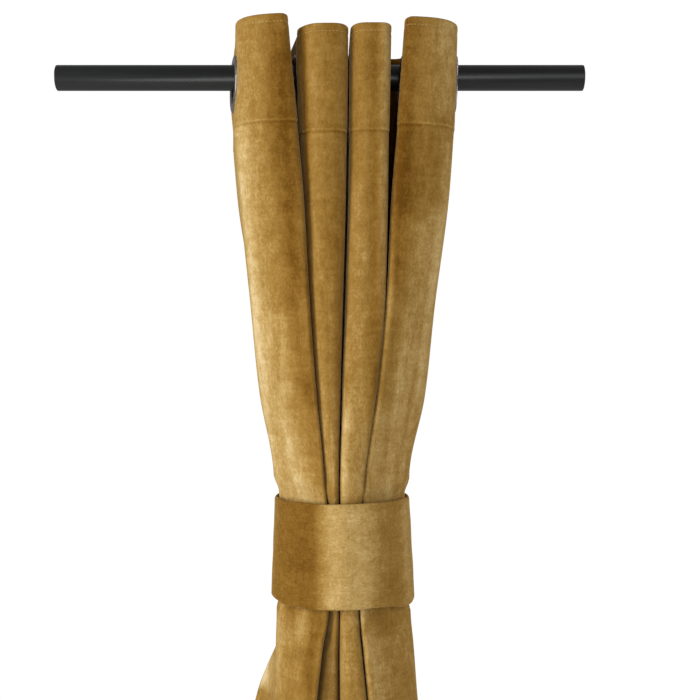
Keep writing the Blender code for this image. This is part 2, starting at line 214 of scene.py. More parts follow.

# Where the pile is brushed lighter (above nought) or darker, and where light and shade are painted on the
# folds: painted light on the sides that face the lamp and at the outer edges, painted shade on the far
# sides, in recesses and on walls in shadow. A stroke is a line of points (x, z) down the front, how far it
# spreads to its left and right, in millimetres, and its tone. A stroke fades out beyond its ends, over a
# share of its height.
Stroke = namedtuple("Stroke", "line left right tone")
LINE_FADE = 0.22
STROKES = (
    Stroke(((-67, 46), (-65, -37), (-60, -131), (-56, -225), (-45, -293)), 14, 9, -0.24),
    Stroke(((-60, 1), (-56, -55), (-52, -121), (-47, -197)), 9, 7, -0.26),
    Stroke(((-38, -305), (-31, -366), (-26, -394)), 7, 5, -0.22),
    Stroke(((-104, -103), (-101, -168), (-96, -216), (-88, -267), (-77, -314), (-64, -361), (-47, -412)),
           24, 12, 0.27),
    Stroke(((-66, -244), (-62, -281), (-58, -310)), 12, 12, 0.14),
    Stroke(((-105, -60), (-99, -192), (-85, -333), (-72, -399)), 7, 6, 0.14),
    Stroke(((-75, -131), (-73, -187), (-68, -253)), 12, 10, 0.07),
    Stroke(((-44, 20), (-43, -8), (-41, -65), (-40, -168), (-36, -253)), 3, 3, -0.34),
    Stroke(((-48, 1), (-48, -18), (-47, -55)), 3, 3, 0.12),
    Stroke(((-16, 29), (-16, -55), (-14, -131), (-12, -263)), 11, 8, -0.18),
    Stroke(((-28, -333), (-22, -390)), 7, 7, 0.12),
    Stroke(((23, 20), (23, -46), (21, -131), (24, -225), (24, -291)), 7, 7, -0.24),
    Stroke(((5, 29), (4, -93)), 7, 8, -0.20),
    Stroke(((-5, -333), (-7, -366), (-8, -409)), 4, 6, 0.18),
    Stroke(((9, -319), (9, -366), (8, -410)), 8, 9, 0.12),
    Stroke(((34, 46), (34, -37), (33, -159), (32, -216)), 6, 8, 0.22),
    Stroke(((51, 29), (48, -55), (43, -197)), 7, 14, -0.36),
    Stroke(((94, 34), (94, -41)), 12, 10, 0.13),
    Stroke(((40, -244), (36, -281), (31, -319)), 8, 7, -0.16),
    Stroke(((70, -70), (58, -140)), 24, 22, -0.15),
    Stroke(((77, -145), (70, -192), (62, -225), (56, -267)), 13, 11, 0.16),
    Stroke(((55, -281), (47, -338), (36, -385), (30, -410)), 9, 10, 0.08),
    Stroke(((46, -258), (44, -338), (41, -366)), 6, 7, -0.08),
    Stroke(((33, -258), (28, -319), (24, -394)), 6, 6, 0.14),
    Stroke(((48, -291), (41, -347), (36, -413)), 3, 3, 0.16),
    Stroke(((58, -293), (49, -347), (40, -413)), 3, 3, 0.14),
    Stroke(((69, -291), (58, -347), (47, -413)), 3, 3, 0.14),
    Stroke(((93, -98), (86, -183), (77, -234), (70, -305)), 6, 8, 0.20),
    Stroke(((-64, -550), (-72, -602)), 10, 10, 0.10),
    Stroke(((-81, -540), (-88, -606)), 16, 9, 0.60),
    Stroke(((-56, -509), (-59, -528)), 8, 7, -0.22),
    Stroke(((-41, -511), (-45, -550)), 7, 6, 0.16),
    Stroke(((-23, -511), (-23, -550)), 7, 6, -0.24),
    Stroke(((-9, -531), (-9, -606)), 5, 5, 0.04),
    Stroke(((14, -511), (10, -531)), 6, 5, 0.26),
    Stroke(((34, -519), (34, -545)), 12, 14, -0.16),
    Stroke(((18, -545), (23, -569), (27, -606)), 9, 8, 0.18),
    Stroke(((-35, -526), (-39, -602)), 7, 8, -0.36),
)
# The band's strokes: its pile lay, with painted light and shade on its facets, darker on the left and to
# the right, lighter in the middle and at the right end
TIE_STROKES = (
    Stroke(((-37, -404), (-36, -514)), 60, 6, -0.36),
    Stroke(((-17, -404), (-15, -514)), 8, 40, 0.20),
    Stroke(((11, -404), (12, -514)), 11, 11, 0.08),
    Stroke(((38, -404), (41, -514)), 11, 11, -0.10),
    Stroke(((54, -428), (58, -514)), 4, 6, 0.16),
)


def soft_step(share):
    """A share from 0 to 1 that starts and ends gently."""
    return share * share * (3 - 2 * share)


def flat_row(level):
    """A level as one plain list of numbers."""
    return [*level[:6], *(value for pair in level[6:] for value in pair)]


def smooth_value(heights, values, z):
    """A monotone cubic through the values, so that nothing bulges between two levels."""
    count = len(heights)
    slopes = [(values[i + 1] - values[i]) / (heights[i + 1] - heights[i]) for i in range(count - 1)]
    tangents = [slopes[0]]
    for before, after in zip(slopes, slopes[1:]):
        same_way = before * after > 0
        tangents.append(2 * before * after / (before + after) if same_way else 0.0)
    tangents.append(slopes[-1])
    place = max(i for i in range(count - 1) if i == 0 or z <= heights[i])
    span = heights[place + 1] - heights[place]
    t = (z - heights[place]) / span
    return (
        values[place] * (1 + 2 * t) * (1 - t) ** 2
        + values[place + 1] * t * t * (3 - 2 * t)
        + span * tangents[place] * t * (1 - t) ** 2
        - span * tangents[place + 1] * t * t * (1 - t)
    )


def level_at(z):
    """The level at any height: straight down the stiff heading, smooth below it."""
    top, seam = LEVELS[:2]
    if z >= seam.z:
        share = (top.z - z) / (top.z - seam.z)
        numbers = [a + (b - a) * share for a, b in zip(flat_row(top), flat_row(seam))]
    else:
        rows = [flat_row(level) for level in LEVELS[1:]]
        heights = [row[0] for row in rows]
        numbers = [smooth_value(heights, [row[i] for row in rows], z) for i in range(len(rows[0]))]
    pairs = [tuple(numbers[i : i + 2]) for i in range(6, 20, 2)]
    return Row(*numbers[:6], *pairs)


def pinch_at(z):
    """How much the tie narrows the bundle at a height, as a share."""
    top, bottom = BAND_TOP / MM, (BAND_TOP - BAND_HEIGHT) / MM
    outside = max(z - top, bottom - z, 0)
    fade = max(0.0, 1 - outside / PINCH_REACH)
    return PINCH * soft_step(fade)


def oval_depth(share, power):
    """How deep an oval of that power is, as a share, at a share of its half width."""
    return (1 - min(abs(share), 0.98) ** power) ** (1 / power)


def corners_at(z):
    """The section's corners at a height, left to right: (x, y, reach before, reach after, lift)."""
    level = level_at(z)
    folds = (level.fold_1, level.fold_2, level.fold_3, level.fold_4)
    middle = (folds[0][0] + folds[3][1]) / 2
    half = (folds[3][1] - folds[0][0]) / 2 + 6

    def front(x):
        return level.front * oval_depth((x - middle) / half, level.oval[0 if x < middle else 1])

    def back(x):
        return level.back * oval_depth((x - middle) / half, max(BACK_OVAL, *level.oval))

    def side(end_x, front_corner, out):
        """The outer wall's point beside the rod."""
        share = level.edge / (level.edge - front_corner[1])
        x = end_x + (front_corner[0] - end_x) * share
        return (x + out, 0.0, SIDE_SOFT, SIDE_SOFT, front_corner[4] * share)

    path = []
    for index, (left, right) in enumerate(folds):
        sink = level.sink if index == 1 else 0
        soft_left, soft_right = FOLD_SOFT[index]
        bend = 0.45 + 0.55 * level.lean
        lift = FOLD_LIFT[index]
        path.append((left, sink - front(left), soft_left.wall * bend, soft_left.face * bend, lift))
        path.append((right, sink - front(right), soft_right.face * bend, soft_right.wall * bend, lift))
        if index < 3:
            slant_left, slant_right = VALLEY_SLANT[index]
            back_left = right + slant_left * level.lean
            back_right = folds[index + 1][0] + slant_right * level.lean
            lift = VALLEY_LIFT[index]
            wall, face = VALLEY_SOFT.wall, VALLEY_SOFT.face
            path.append((back_left, back(back_left), wall, face, lift))
            path.append((back_right, back(back_right), face, wall, lift))
    left_end, right_end = level.ends
    path.insert(0, side(left_end, path[0], -level.swell[0]))
    path.append(side(right_end, path[-1], level.swell[1]))
    path.insert(0, (left_end, level.edge, 0, 0, 0.0))
    path.append((right_end, level.edge, 0, 0, 0.0))

    narrow = 1 - pinch_at(z)
    return [(middle + (x - middle) * narrow, y * narrow, *rest) for x, y, *rest in path]


def rounded_path(corners, wall_steps):
    """Points (x, y, lift) along the cloth: a soft bend at each corner, straight runs between."""
    runs = [math.dist(a[:2], b[:2]) for a, b in zip(corners, corners[1:])]
    spare = [
        min(1.0, 0.95 * run / max(a[3] + b[2], 1e-6)) / run for a, b, run in zip(corners, corners[1:], runs)
    ]
    places = [Vector((x, y, lift)) for x, y, _, _, lift in corners]
    points = [places[0]]
    for index in range(1, len(corners) - 1):
        here = places[index]
        start = here.lerp(places[index - 1], corners[index][2] * spare[index - 1])
        end = here.lerp(places[index + 1], corners[index][3] * spare[index])
        along_wall = index % 2 == 0 or index in (1, len(corners) - 2)
        steps = wall_steps if along_wall else FACE_STEPS
        came_from = points[-1]
        points += [came_from.lerp(start, step / steps) for step in range(1, steps + 1)]
        for step in range(1, CORNER_STEPS + 1):
            t = step / CORNER_STEPS
            points.append(start * (1 - t) ** 2 + here * 2 * t * (1 - t) + end * t * t)
    came_from = points[-1]
    points += [came_from.lerp(places[-1], step / wall_steps) for step in range(1, wall_steps + 1)]
    return points


def cloth_row(z, drop=0.0, wall_steps=WALL_STEPS):
    """One row of the cloth's middle surface, in metres, drop lower than its level."""
    row = rounded_path(corners_at(z), wall_steps)
    return np.array([(p.x * MM + GATHER_MIDDLE, p.y * MM, (z + p.z) * MM - drop) for p in row])


def wall_ends(row):
    """The two ends of each of the eight walls in a row of corners."""
    pairs = [(0, 2)] + [(i, i + 1) for i in range(3, 15, 2)] + [(15, 17)]
    return [(row[a], row[b]) for a, b in pairs]


def beside_rod(a, b):
    """The point of a wall's edge that is level with the rod's axis in depth."""
    return a + (b - a) * (-a.y / (b.y - a.y))


def eyelet_frames():
    """Where the eight eyelets sit: the centre of each on its wall, with the wall's normal as its own Z."""
    top, seam = (
        [Vector((x, y, level.z + lift)) * MM for x, y, _, _, lift in corners_at(level.z)]
        for level in LEVELS[:2]
    )
    frames = []
    for (a, b), (c, d) in zip(wall_ends(top), wall_ends(seam)):
        above, below = beside_rod(a, b), beside_rod(c, d)
        centre = above + (below - above) * ((above.z + EYELET_DROP) / (above.z - below.z))
        normal = ((b - a) + (d - c)).cross(below - above).normalized()
        across = normal.cross(Vector((0, 0, 1))).normalized()
        turn = Matrix((across, normal.cross(across), normal)).transposed().to_4x4()
        if not frames:
            turn = Matrix.Rotation(math.radians(LEFT_EYELET_TURN), 4, "Z") @ turn
        frames.append(Matrix.Translation(centre + Vector((GATHER_MIDDLE, 0, 0))) @ turn)
    return frames


# Making cloth


def grid_normals(grid):
    """The unit normal at each point of a grid of points, towards the front of the cloth."""
    along = np.gradient(grid, axis=1)
    down = np.gradient(grid, axis=0)
    normal = np.cross(down, along)
    return normal / np.maximum(np.linalg.norm(normal, axis=2, keepdims=True), 1e-12)


def add_piece(name, mesh, material):
    """A finished piece at the origin with its material."""
    mesh.materials.append(material)
    piece = bpy.data.objects.new(name, mesh)
    bpy.context.scene.collection.objects.link(piece)
    return piece


def cloth_shell(name, grid, thick, flat_map, material, painted_shading=None):
    """A closed sheet about a grid of points, thick at each, with a rounded rim and a flat map in metres."""
    rows, columns = grid.shape[:2]
    normal = grid_normals(grid)
    half = thick[..., None] / 2
    front, back = grid + normal * half, grid - normal * half
    ring = (
        [(0, c) for c in range(columns)]
        + [(r, columns - 1) for r in range(1, rows)]
        + [(rows - 1, c) for c in range(columns - 2, -1, -1)]
        + [(r, 0) for r in range(rows - 2, 0, -1)]
    )
    rim = []
    for r, c in ring:
        inner_r = min(max(r, 1), rows - 2)
        inner_c = min(max(c, 1), columns - 2)
        out = grid[r, c] - grid[inner_r, inner_c]
        out = out / max(np.linalg.norm(out), 1e-12)
        rim.append(grid[r, c] + out * thick[r, c] * 0.4)
    points = np.concatenate([front.reshape(-1, 3), back.reshape(-1, 3), np.array(rim)])
    index = np.arange(rows * columns).reshape(rows, columns)
    quads = np.stack([index[:-1, :-1], index[1:, :-1], index[1:, 1:], index[:-1, 1:]], axis=-1)
    quads = quads.reshape(-1, 4)
    behind = quads[:, ::-1] + rows * columns
    edge = np.array([index[r, c] for r, c in ring])
    lip = 2 * rows * columns + np.arange(len(ring))
    next_edge, next_lip = np.roll(edge, -1), np.roll(lip, -1)
    front_rim = np.stack([edge, next_edge, next_lip, lip], axis=-1)
    back_rim = np.stack([lip, next_lip, next_edge + rows * columns, edge + rows * columns], axis=-1)
    faces = np.concatenate([quads, behind, front_rim, back_rim])
    mesh = bpy.data.meshes.new(name)
    mesh.from_pydata(points.tolist(), [], faces.tolist())
    flat = np.concatenate([flat_map.reshape(-1, 2)] * 2 + [np.array([flat_map[r, c] for r, c in ring])])
    layer = mesh.uv_layers.new(name="cloth")
    corners = np.zeros(len(mesh.loops), dtype=np.int32)
    mesh.loops.foreach_get("vertex_index", corners)
    layer.uv.foreach_set("vector", flat[corners].astype(np.float32).ravel())
    # The colour attribute starts as the painted shading: painted shade darkens it, a painted highlight
    # lightens it
    if painted_shading is None:
        painted_shading = np.zeros((2, rows, columns))
    deep = np.concatenate([painted_shading.ravel(), np.zeros(len(ring))])
    mesh.attributes.new("pile", "FLOAT", "POINT").data.foreach_set("value", -deep.astype(np.float32))
    mesh.shade_smooth()
    mesh.validate()
    return add_piece(name, mesh, material)


def stroke_share(x, z, line, left, right):
    """How strongly a soft line in the front view bears on each place, from 0 to 1."""
    places, heights = np.array(line[::-1], float).T
    off = x - np.interp(z, heights, places)
    off = np.where(off < 0, off / left, off / right)
    reach = (heights[-1] - heights[0]) * LINE_FADE
    fade = np.clip((z - heights[0] + reach) / reach, 0, 1)
    fade *= np.clip((heights[-1] + reach - z) / reach, 0, 1)
    return np.exp(-off * off) * soft_step(fade)


def uneven(points, swell):
    """Gentle unevenness at each point, in millimetres up or down."""
    spread = points.reshape(-1, 3) / (np.array(swell.apart) * MM)
    start = Vector((swell.seed, swell.seed * 0.7, 0.0))
    values = [noise.noise(Vector(point) + start) for point in spread.tolist()]
    return np.array(values).reshape(points.shape[:2]) * 1.6 * swell.high


def facing_front(normal):
    """1 where the cloth faces the front, 0 where it faces sideways or back."""
    return np.clip((-normal[..., 1] - 0.25) / 0.5, 0, 1)


def standing_out(grid, normal):
    """How far the cloth stands out of its plain folds, in metres."""
    front = facing_front(normal)
    out = uneven(grid, BROAD_SWELL) * (0.12 + 0.88 * front)
    out += uneven(grid, SMALL_SWELL) * front
    x, z = (grid[..., 0] - GATHER_MIDDLE) / MM, grid[..., 2] / MM
    for crease in CREASES:
        out += stroke_share(x, z, crease.line, crease.wide, crease.wide) * crease.high * front
    return out * MM


def painted_hollow_shade(grid, wall_steps=WALL_STEPS):
    """The painted shade deep between folds, at each point of the front and then of the back."""
    share = np.zeros((2, *grid.shape[:2]))
    column, bends = 0, [0]
    for bend in range(1, 17):
        column += (wall_steps if bend % 2 == 0 or bend == 1 else FACE_STEPS) + CORNER_STEPS
        bends.append(column)
    start, distance = FRONT_HOLLOW
    for valley in range(3):
        first, last = bends[3 + 4 * valley] - 3, bends[6 + 4 * valley] - CORNER_STEPS + 3
        share[0, :, first:last] = np.clip((grid[:, first:last, 1] / MM - start) / distance, 0, 1)
    start, distance = BACK_HOLLOW
    for fold in range(4):
        first, last = bends[1 + 4 * fold], bends[4 + 4 * fold] - CORNER_STEPS
        share[1, :, first:last] = np.clip((start - grid[:, first:last, 1] / MM) / distance, 0, 1)
    return share * HOLLOW_PAINTED_SHADE


def flat_widths(row):
    """The distance along the cloth to each point of a row."""
    steps = np.linalg.norm(np.diff(row, axis=0), axis=1)
    return np.concatenate([[0.0], np.cumsum(steps)])


def laid_flat(along, down):
    """Each point's place on the cloth laid flat, in metres."""
    return np.stack(np.meshgrid(along, down), axis=-1)


def brush_pile_and_paint_light(piece, strokes):
    """Marks brushed pile and painted light and shade, lighter or darker, on the piece's own points."""
    mesh = piece.data
    points = np.zeros(len(mesh.vertices) * 3)
    mesh.vertices.foreach_get("co", points)
    points = points.reshape(-1, 3)
    normals = np.zeros(len(mesh.vertices) * 3)
    mesh.vertex_normals.foreach_get("vector", normals)
    front = np.clip(-normals.reshape(-1, 3)[:, 1] * 2, 0, 1)
    x = (points[:, 0] - GATHER_MIDDLE) / MM
    z = points[:, 2] / MM
    tone = np.zeros(len(points))
    for stroke in strokes:
        tone += stroke_share(x, z, stroke.line, stroke.left, stroke.right) * stroke.tone
    layer = mesh.attributes["pile"]
    deep = np.zeros(len(mesh.vertices), np.float32)
    layer.data.foreach_get("value", deep)
    layer.data.foreach_set("value", (deep + tone * front).astype(np.float32))


def heading_levels():
    """Distances below the top edge for the heading's rows: close at its edges and stitch lines."""
    deep = (LEVELS[0].z - SEAM_Z) * MM
    rows = [0, 0.35, 0.9, 1.7, 3, 5.2, 6.6, 7.5, 8.4, 9.8]
    rows += [12.5 + 4 * step for step in range(21)]
    rows += [deep / MM - value for value in (4.3, 3.8, 3.2, 2.6, 2.0, 1.2, 0.5, 0)]
    return np.array(sorted(rows)) * MM


def rounding(distance, thick):
    """The share of its thickness that a sheet has at a distance from its rounded edge."""
    return np.sqrt(np.clip(1 - np.clip(1 - distance / (thick / 2), 0, 1) ** 2, 0.04, 1))


def groove(distance, wide):
    """1 on a stitch line and 0 away from it."""
    return np.exp(-((distance / wide) ** 2))


def press_dents(grid):
    """Pushes the heading in or out where its stiff folds bear on the rod, clear of the eyelets."""
    grid = grid.copy()
    place = grid / MM - np.array([GATHER_MIDDLE / MM, 0, 0])
    clear = np.clip((EYELET_CLEAR - place[..., 1]) / 9, 0, 1)
    for dent in DENTS:
        off = (place - np.array(dent.place)) / np.array(dent.reach)
        weight = np.exp(-(off**2).sum(axis=2)) * soft_step(clear)
        grid[..., 0] += weight * dent.push * MM
    return grid


def turn_with_eyelet(grid):
    """Turns the cloth round the left eyelet with it, fading out beyond its rim."""
    frame = eyelet_frames()[0]
    centre = np.array(frame.translation)
    normal = frame.to_3x3() @ Vector((0, 0, 1))
    turned = math.atan2(normal.y, normal.x)
    before = turned - math.radians(LEFT_EYELET_TURN)
    shear = math.tan(turned) - math.tan(before)
    off = (grid - centre) / MM
    fade = np.clip((TURN_END - np.hypot(off[..., 1], off[..., 2])) / (TURN_END - TURN_FULL), 0, 1)
    weight = soft_step(fade) * (np.abs(off[..., 0]) < TURN_ACROSS)
    grid = grid.copy()
    grid[..., 0] -= weight * shear * off[..., 1] * MM
    return grid


def sew_heading(material):
    """The stiffened heading, with its turned top edge and two stitch lines."""
    top, seam = (cloth_row(level.z, 0.0, HEADING_WALL_STEPS) for level in LEVELS[:2])
    below = heading_levels()
    deep = below[-1]
    share = (below / deep)[:, None, None]
    grid = top[None] * (1 - share) + seam[None] * share
    grid = turn_with_eyelet(press_dents(grid))
    normal = grid_normals(grid)
    near_top, near_seam = below, deep - below
    middle = np.minimum(near_top, near_seam) / (deep / 2)
    swell = uneven(grid, HEADING_SWELL) * np.clip(middle, 0, 1)[:, None]
    grid = grid + normal * (swell * MM * facing_front(normal))[..., None]
    thick = np.full(grid.shape[:2], HEADING_THICK)
    thick *= (rounding(near_top, HEADING_THICK) * rounding(near_seam, HEADING_THICK))[:, None]
    thick -= (0.9 * MM * groove(near_top - TOP_STITCH, 1.1 * MM))[:, None]
    thick -= (0.3 * MM * groove(near_seam - SEAM_PRESS, 1.6 * MM))[:, None]
    flat = laid_flat(flat_widths(seam), -below)
    # Painted highlight on the ridge at the heading's lower edge and painted shade in its pressed seam line
    shade = 0.1 * groove(near_seam - 0.9 * MM, 0.8 * MM)
    shade -= 0.03 * groove(near_seam - SEAM_PRESS, 1.5 * MM)
    painted_shading = painted_hollow_shade(grid, HEADING_WALL_STEPS) - shade[None, :, None]
    heading = cloth_shell("heading_cloth", grid, thick, flat, material, painted_shading)
    return heading, (grid, normal, thick)


def panel_levels():
    """Heights of the panel's rows, in millimetres: close at the seam, the band and the hem."""
    rows = [-58, -61, -62.5, -63.6, -64.3, -65.2, -66.5, -68.5, -71]
    height = rows[-1]
    while height > HEM_TOP_Z + 24:
        near_tie = min(abs(height - BAND_TOP / MM), abs(height - (BAND_TOP - BAND_HEIGHT) / MM))
        step = 4.5 if near_tie < 26 else 7.5 if height > -720 else 15
        height -= step
        rows.append(height)
    rows = [row for row in rows if row > HEM_TOP_Z + 6]
    rows += [HEM_TOP_Z + value for value in (4, 1.5, 0, -1.5, -HEM_STITCH)]
    rows += [HEM_TOP_Z - 8 - 12 * step for step in range(7)]
    rows += [FOOT_Z + value for value in (3, 1.2, 0.4, 0)]
    return np.array(sorted(set(rows), reverse=True))


def sew_panel(material):
    """The curtain's body, from inside the heading's seam down to its hem."""
    levels = panel_levels()
    grid = np.array([cloth_row(z, PIECE_GAP) for z in levels])
    normal = grid_normals(grid)
    below_seam = SEAM_Z - levels
    free = np.clip(below_seam / 30, 0, 1)[:, None]
    tied = np.array([pinch_at(z) / PINCH for z in levels])[:, None]
    out = standing_out(grid, normal) * free * (1 - 0.75 * tied)
    puckers = np.clip(below_seam / 3, 0, 1) * np.exp(-np.clip(below_seam, 0, 99) / 14)
    along = flat_widths(cloth_row(SEAM_Z))
    ripple = np.sin(along / MM * 0.62 + 2.0 * np.sin(along / MM * 0.071))
    ripple *= 0.6 + 0.4 * np.sin(along / MM * 0.19)
    out += puckers[:, None] * ripple[None] * 0.22 * MM
    grid = grid + normal * out[..., None]
    above_hem = (levels - levels[-1]) * MM
    thick = np.full(grid.shape[:2], PANEL_THICK)
    hem_part = np.clip((HEM - above_hem) / (1.5 * MM), 0, 1)
    thick += (HEM_EXTRA * hem_part)[:, None]
    thick -= (0.7 * MM * groove(above_hem - HEM + HEM_STITCH * MM, 2 * MM))[:, None]
    thick *= rounding(above_hem, PANEL_THICK + HEM_EXTRA)[:, None]
    tucked = np.clip(1 - below_seam / 5, 0, 1)
    thick *= (1 - 0.2 * tucked * tucked)[:, None]
    side = np.minimum(along, along[-1] - along)
    thick += (SIDE_HEM_EXTRA * np.clip((SIDE_HEM - side) / (4 * MM), 0, 1))[None]
    flat = laid_flat(along, levels * MM)
    # Painted shade deep between folds, and a painted dark line of shade in the groove just below the seam
    painted_shading = painted_hollow_shade(grid) + (0.15 * groove(below_seam - 0.9, 1.2))[None, :, None]
    panel = cloth_shell("panel_cloth", grid, thick, flat, material, painted_shading)
    return panel, (grid, normal, thick)


def band_point(angle, z, radius_x, middle_x):
    """A point on the band's middle surface; the last part of the turn laps over the first."""
    lap_start = 2 * math.pi - BAND_LAP / 2
    share = min(max((angle - lap_start) / BAND_LAP + 0.5, 0.0), 1.0)
    lift = (BAND_THICK + BAND_LAP_GAP) * soft_step(share)
    forward = max(0.0, -math.cos(angle)) ** 0.5
    power = 2 / (BACK_OVAL + (BAND_OVAL[0 if math.sin(angle) < 0 else 1] - BACK_OVAL) * forward)
    x = middle_x + (radius_x + lift) * math.copysign(abs(math.sin(angle)) ** power, math.sin(angle))
    y = (BAND_DEPTH + lift) * math.copysign(abs(math.cos(angle)) ** power, math.cos(angle))
    return (x, y, z)


# The band's two edges in the front view: (millimetres across, how far the edge is lifted there)
BAND_TOP_EDGE = (
    (-76, 0), (-74, -1.4), (-71.5, 0.2), (-64, -1.8), (-50, -0.7), (-33.5, -0.7), (-27.5, -1.3), (-7, -0.3),
    (12, 0), (31, 0), (44.6, 0), (55, 0.9), (58.5, -3.9),
)
BAND_FOOT_EDGE = (
    (-78, 2.5), (-71, 0.5), (-62, -2.3), (-48, -1.7), (-38, -1.9), (-24, -0.8), (-7, 0.2), (8, 0.2),
    (22.6, 1.4), (38, 0.2), (53.5, -3.4), (60, -2.9), (63.5, 0.5),
)

# Soft upright bends in the band's front (high above nought) and the flats between them, in millimetres
BandBend = namedtuple("BandBend", "across wide high")
BAND_BENDS = (
    BandBend(-52, 12, -0.8), BandBend(-31, 7, 0.9), BandBend(-4, 18, -0.5), BandBend(23, 8, 0.8),
    BandBend(42, 11, -0.6),
)


def edge_lift(across, edge):
    """How far the band's edge is lifted at a place across the front, in metres."""
    return np.interp(across, *zip(*edge)) * MM


def sew_tie(material):
    """The tie band: flat in front between two soft bends, its ends lapped at the back."""
    levels, halves, middles = zip(*BAND_ROWS)
    near_edge = [0, 0.004, 0.012, 0.025, 0.045]
    far_edge = [1 - share for share in near_edge[::-1]]
    shares = np.concatenate([near_edge, np.linspace(0.075, 0.925, 24), far_edge])
    turn = 2 * math.pi + BAND_LAP
    grid = np.zeros((len(shares), BAND_STEPS + 1, 3))
    for row, share in enumerate(shares):
        half = np.interp(share, levels, halves) * MM
        middle = np.interp(share, levels, middles) * MM + GATHER_MIDDLE
        for step in range(BAND_STEPS + 1):
            angle = turn * step / BAND_STEPS - BAND_LAP / 2
            x, y, z = band_point(angle, BAND_TOP - share * BAND_HEIGHT, half, middle)
            forward = min(max(-y / BAND_DEPTH * 2 + 0.4, 0), 1)
            across = (x - GATHER_MIDDLE) / MM
            top = edge_lift(across, BAND_TOP_EDGE)
            foot = edge_lift(across, BAND_FOOT_EDGE)
            slope = share * BAND_SAG * math.sin(angle)
            z += forward * (top * (1 - share) + foot * share) - slope * (1 - forward)
            grid[row, step] = (x, y, z)
    normal = -grid_normals(grid)
    x = (grid[..., 0] - GATHER_MIDDLE) / MM
    front = facing_front(normal) ** 0.5
    facet = sum(bend.high * groove(x - bend.across, bend.wide) for bend in BAND_BENDS)
    out = facet * front + uneven(grid, BAND_SWELL)
    grid = grid + normal * (out * MM)[..., None]
    below = shares * BAND_HEIGHT
    thick = np.full(grid.shape[:2], BAND_THICK)
    thick *= (rounding(below, BAND_THICK) * rounding(BAND_HEIGHT - below, BAND_THICK))[:, None]
    flat = laid_flat(flat_widths(grid[len(shares) // 2]) + 2, -below)
    return cloth_shell("tie_cloth", grid[:, ::-1], thick[:, ::-1], flat[:, ::-1], material)


# Rod, rings, holes and stitches, modelled as by hand


def new_shape(add, name, **sizes):
    """Adds a primitive with nothing else selected, and names it."""
    bpy.ops.object.select_all(action="DESELECT")
    add(**sizes)
    shape = bpy.context.object
    shape.name = name
    shape.data.name = name
    return shape


def pick(shape, kind, wanted):
    """Selects, in edit mode, only those points or edges that are wanted."""
    bpy.ops.mesh.select_all(action="DESELECT")
    bpy.ops.mesh.select_mode(type=kind)
    edit = bmesh.from_edit_mesh(shape.data)
    for part in edit.verts if kind == "VERT" else edit.edges:
        part.select_set(bool(wanted(part)))
    edit.select_flush_mode()
    bmesh.update_edit_mesh(shape.data)


def edit_all():
    """Goes into edit mode with everything selected."""
    bpy.ops.object.mode_set(mode="EDIT")
    bpy.ops.mesh.select_all(action="SELECT")


def mid_point(edge):
    """The middle of an edge."""
    return (edge.verts[0].co + edge.verts[1].co) / 2


def turn_rod(material):
    """The plain rod, turned with a small round edge at each end."""
    rod = new_shape(
        bpy.ops.mesh.primitive_cylinder_add,
        "black_rod", vertices=120, radius=ROD_RADIUS, depth=ROD_LENGTH, rotation=(0, math.pi / 2, 0),
    )
    bpy.ops.object.transform_apply(location=True, rotation=True, scale=True)
    edge = rod.modifiers.new("edge", "BEVEL")
    edge.width = ROD_EDGE
    edge.segments = 4
    edge.limit_method = "ANGLE"
    edge.angle_limit = math.radians(60)
    bpy.ops.object.modifier_apply(modifier=edge.name)
    bpy.ops.object.shade_smooth_by_angle(angle=math.radians(40))
    rod.data.materials.append(material)
    return rod


def draw_out(depth):
    """Extrudes what is picked, up or down."""
    bpy.ops.mesh.extrude_region_move(TRANSFORM_OT_translate={"value": (0, 0, depth)})


def widen(share):
    """Scales what is picked about the ring's axis."""
    bpy.ops.transform.resize(value=(share, share, 1), center_override=(0, 0, 0))


def turn_ring(material):
    """One ring: a domed half, its inner wall and its seat on the cloth, mirrored to the other side."""
    groove_half = HEADING_THICK / 2 + PIECE_GAP
    wide = (EYELET_RIM - EYELET_THROAT) / 2
    ring = new_shape(
        bpy.ops.mesh.primitive_torus_add,
        "ring", major_radius=EYELET_THROAT + wide, minor_radius=wide, major_segments=72, minor_segments=20,
    )
    edit_all()
    bpy.ops.transform.resize(value=(1, 1, EYELET_DOME / wide), center_override=(0, 0, 0))
    bpy.ops.mesh.bisect(plane_co=(0, 0, 0), plane_no=(0, 0, 1), clear_inner=True)
    bpy.ops.mesh.select_all(action="SELECT")
    bpy.ops.transform.translate(value=(0, 0, groove_half))
    floor = groove_half + 0.02 * MM

    def rim_edge(edge, radius):
        centre = mid_point(edge)
        return edge.is_boundary and centre.z < floor and abs(centre.xy.length - radius) < 0.3 * MM

    pick(ring, "EDGE", lambda edge: rim_edge(edge, EYELET_THROAT))
    draw_out(-groove_half * 0.55)
    widen(1.022)
    draw_out(-groove_half * 0.45)
    pick(ring, "EDGE", lambda edge: rim_edge(edge, EYELET_RIM))
    rolled_in = EYELET_RIM - 0.7 * MM
    draw_out(0)
    widen(rolled_in / EYELET_RIM)
    draw_out(0)
    widen(EYELET_SLEEVE / rolled_in)
    draw_out(-groove_half)
    bpy.ops.object.mode_set(mode="OBJECT")
    other = ring.modifiers.new("other side", "MIRROR")
    other.use_axis = (False, False, True)
    other.use_mirror_merge = True
    other.merge_threshold = 0.03 * MM
    bpy.ops.object.modifier_apply(modifier=other.name)
    edit_all()
    bpy.ops.mesh.remove_doubles(threshold=0.01 * MM)
    bpy.ops.mesh.normals_make_consistent(inside=False)
    bpy.ops.object.mode_set(mode="OBJECT")
    bpy.ops.object.shade_smooth_by_angle(angle=math.radians(42))
    ring.data.materials.append(material)
    return ring


